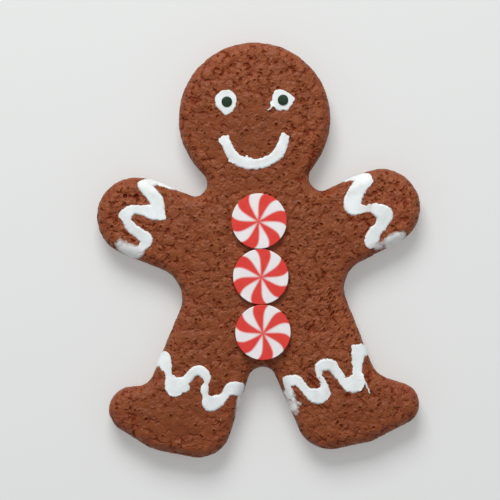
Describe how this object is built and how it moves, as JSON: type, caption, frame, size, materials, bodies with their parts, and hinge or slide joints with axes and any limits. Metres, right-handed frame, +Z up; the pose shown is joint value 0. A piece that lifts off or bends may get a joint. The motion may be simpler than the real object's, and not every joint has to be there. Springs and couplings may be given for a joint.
{
  "type": "polymer clay copy of a gingerbread man cookie",
  "caption": "Flat gingerbread man figure in brown clay, a copy of an iced cookie, with striped peppermint discs down the front, white icing zigzags on arms and legs, and a smile.",
  "frame": {"origin": "underside of the figure, in the middle of its length and width", "axes": "+Y from the feet to the head, +Z up out of the decorated face, +X to the right as seen from above"},
  "size_m": [0.0582, 0.0748, 0.0075],
  "materials": {
    "clay_brown": "baked polymer clay, stippled with a brush, matte",
    "cane_striped": "red and white polymer clay cane, sliced and baked, smooth and matte",
    "icing_white": "white liquid clay, brushed on and baked, slightly soft sheen",
    "clay_green": "dark green polymer clay dot, matte"
  },
  "bodies": {
    "root": {"cookie": "clay_brown", "candy_top": "cane_striped", "candy_middle": "cane_striped", "candy_bottom": "cane_striped", "icing_arm_left": "icing_white", "icing_arm_right": "icing_white", "icing_leg_left": "icing_white", "icing_leg_right": "icing_white", "icing_smile": "icing_white", "eye_left": "icing_white", "eye_right": "icing_white", "pupil_left": "clay_green", "pupil_right": "clay_green"}
  },
  "joints": []
}
